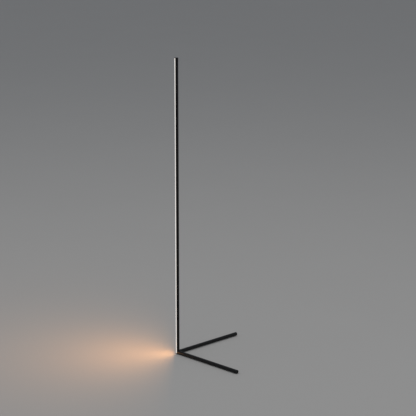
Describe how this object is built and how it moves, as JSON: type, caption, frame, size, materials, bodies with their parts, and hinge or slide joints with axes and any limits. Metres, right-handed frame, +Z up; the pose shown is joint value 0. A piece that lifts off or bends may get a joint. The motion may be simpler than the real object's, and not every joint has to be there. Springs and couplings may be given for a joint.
{
  "type": "corner floor lamp",
  "caption": "Slim vertical line of light in a round black tube, standing on round black legs that lie on the floor in a V and open towards the corner of a room.",
  "frame": {"origin": "on the floor under the upright's axis, at the underside of the rubber pad below the corner of the V", "axes": "+Z up along the upright; +X along the middle line of the V, into its open side, so the light faces -X; +Y towards the rear leg, the one with the inlet"},
  "size_m": [0.3121, 0.6062, 1.5],
  "materials": {
    "black_aluminium": "black anodised, fine satin",
    "opal_cover": "opal diffusing plastic, lit from behind",
    "hub_steel": "machined and phosphated",
    "bar_steel": "drawn steel bar",
    "pad_rubber": "matte moulded rubber",
    "screw_steel": "black oxide",
    "grey_tape": "thermal adhesive tape",
    "white_board": "white solder mask",
    "phosphor": "phosphor in silicone, glowing",
    "chip_black": "moulded component plastic",
    "black_button": "fine textured black",
    "green_board": "green solder mask",
    "jack_plastic": "black moulded inlet",
    "contact_brass": "plated contact",
    "nut_nickel": "nickel plated",
    "red_wire": "soft red insulation",
    "black_wire": "soft black insulation",
    "white_wire": "soft white insulation"
  },
  "bodies": {
    "lamp": {"upright_profile": "black_aluminium", "top_cap": "black_aluminium", "foot_cap": "black_aluminium", "rear_leg_tube": "black_aluminium", "front_leg_tube": "black_aluminium", "rear_leg_cap": "black_aluminium", "front_leg_cap": "black_aluminium", "diffuser": "opal_cover", "base_hub": "hub_steel", "rear_leg_ballast": "bar_steel", "front_leg_ballast": "bar_steel", "corner_foot_pad": "pad_rubber", "rear_foot_pad": "pad_rubber", "front_foot_pad": "pad_rubber", "case_screws": "screw_steel", "leg_grub_screws": "screw_steel", "thermal_tape": "grey_tape", "led_board": "white_board", "phosphor_bead": "phosphor", "strip_resistors": "chip_black", "switch_body": "chip_black", "dimmer_board": "green_board", "dimmer_chips": "chip_black", "jack_body": "jack_plastic", "jack_pin": "contact_brass", "jack_terminals": "contact_brass", "jack_nut": "nut_nickel", "supply_wire_positive": "red_wire", "supply_wire_negative": "black_wire", "strip_wires": "white_wire"},
    "button": {"dimmer_button": "black_button", "button_clip": "screw_steel", "switch_plunger": "chip_black"}
  },
  "joints": [
    {"name": "button_press", "type": "slide", "parent": "lamp", "child": "button", "axis": [0, 0, -1], "range_m": [0, 0.0005], "stiffness_N_per_m": 2000, "springref_m": -0.0005}
  ]
}
